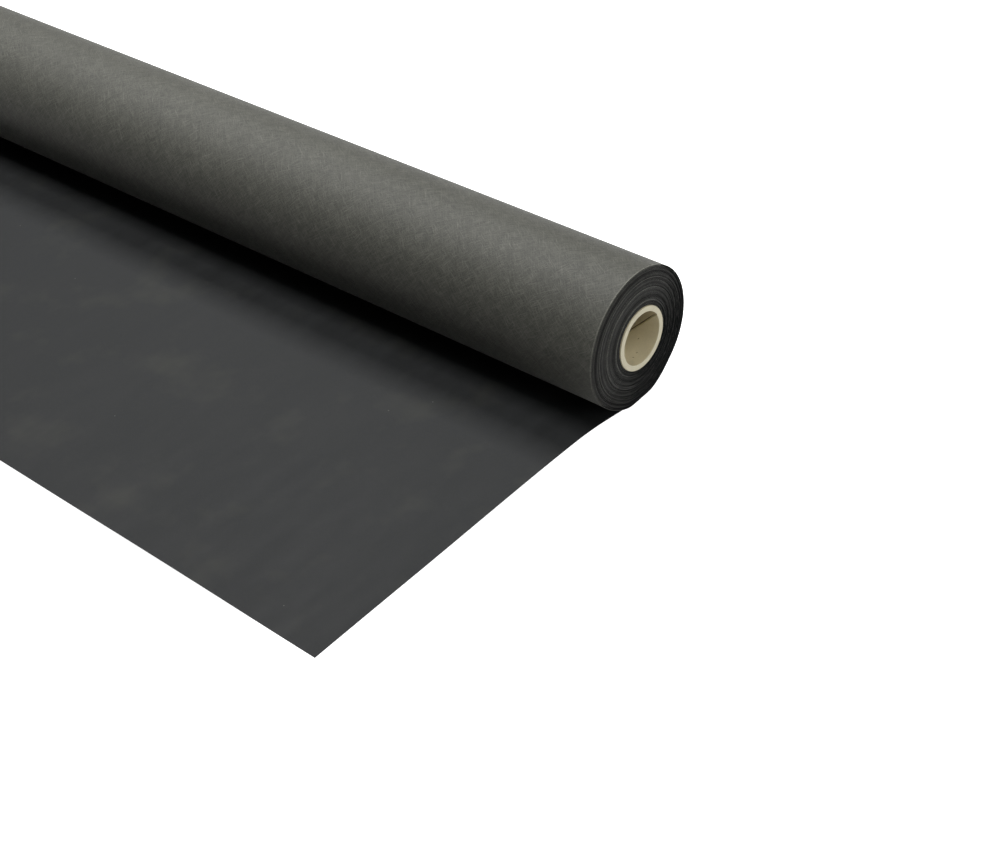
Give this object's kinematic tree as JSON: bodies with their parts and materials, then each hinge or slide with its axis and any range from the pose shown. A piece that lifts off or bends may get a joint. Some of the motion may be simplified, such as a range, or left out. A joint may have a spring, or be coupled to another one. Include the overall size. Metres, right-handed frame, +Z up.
{
  "type": "roll of facade membrane",
  "caption": "Thin wide building membrane wound on a paperboard core, lying on its side with its outer end unrolled flat in front of the roll.",
  "frame": {"origin": "middle of the whole footprint, on the floor that the roll and its unrolled end lie on", "axes": "+X along the roll, +Z up, and the unrolled end points to -Y"},
  "size_m": [1.51, 0.707, 0.204],
  "materials": {
    "membrane_sheet": "matte",
    "core_paperboard": "matte"
  },
  "bodies": {
    "root": {"membrane": "membrane_sheet", "core_tube": "core_paperboard"}
  },
  "joints": []
}
